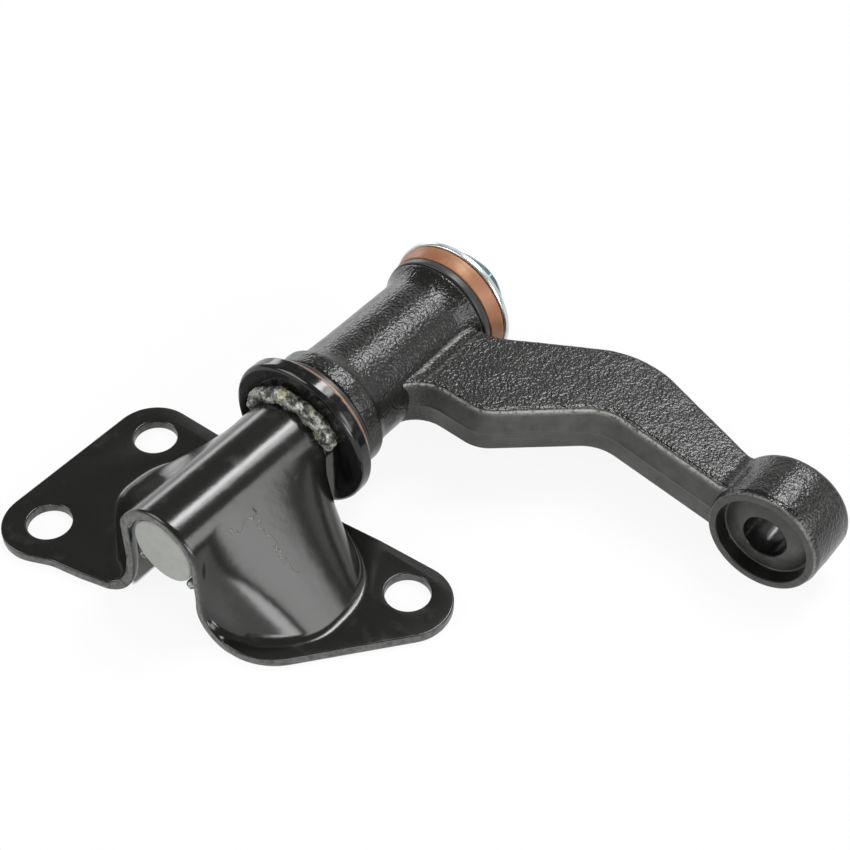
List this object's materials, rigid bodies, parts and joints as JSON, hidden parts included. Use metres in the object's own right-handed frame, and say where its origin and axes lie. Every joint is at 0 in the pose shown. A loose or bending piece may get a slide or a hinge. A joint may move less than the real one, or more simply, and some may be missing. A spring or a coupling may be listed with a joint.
{
  "type": "steering idler arm",
  "caption": "Steering idler arm: a stamped bolt-on bracket with a welded shaft, and a cranked forged arm that swings on flanged bushes and ends in a recessed eye.",
  "frame": {"origin": "middle of the shaft's front face, on the axis that the arm swings about", "axes": "+Y along the shaft from the bracket's front to the nut, +X from the shaft out to the arm's eye, +Z away from the face that the bracket is bolted to"},
  "size_m": [0.197, 0.1522, 0.0485],
  "materials": {
    "black_paint": "gloss black paint on stamped steel",
    "shaft_steel": "turned steel, dull grey",
    "weld_metal": "rippled weld bead, painted over",
    "cap_enamel": "gloss black enamel",
    "bush_brown": "copper brown moulding",
    "seal_rubber": "smooth dark rubber",
    "forged_black": "blasted forging, satin black",
    "zinc": "bright zinc plate"
  },
  "bodies": {
    "bracket": {"bracket": "black_paint", "pivot_shaft": "shaft_steel", "rear_weld": "weld_metal", "front_weld_left": "weld_metal", "front_weld_right": "weld_metal", "dust_cap": "cap_enamel", "thrust_washer": "zinc", "lock_nut": "zinc"},
    "arm": {"idler_arm": "forged_black", "front_bush": "bush_brown", "rear_bush": "bush_brown", "front_seal": "seal_rubber", "rear_seal": "seal_rubber"}
  },
  "joints": [
    {"name": "arm_swing", "type": "hinge", "parent": "bracket", "child": "arm", "pos_m": [0, 0.09075, 0], "axis": [0, 1, 0], "range_deg": [-40, 40]}
  ]
}
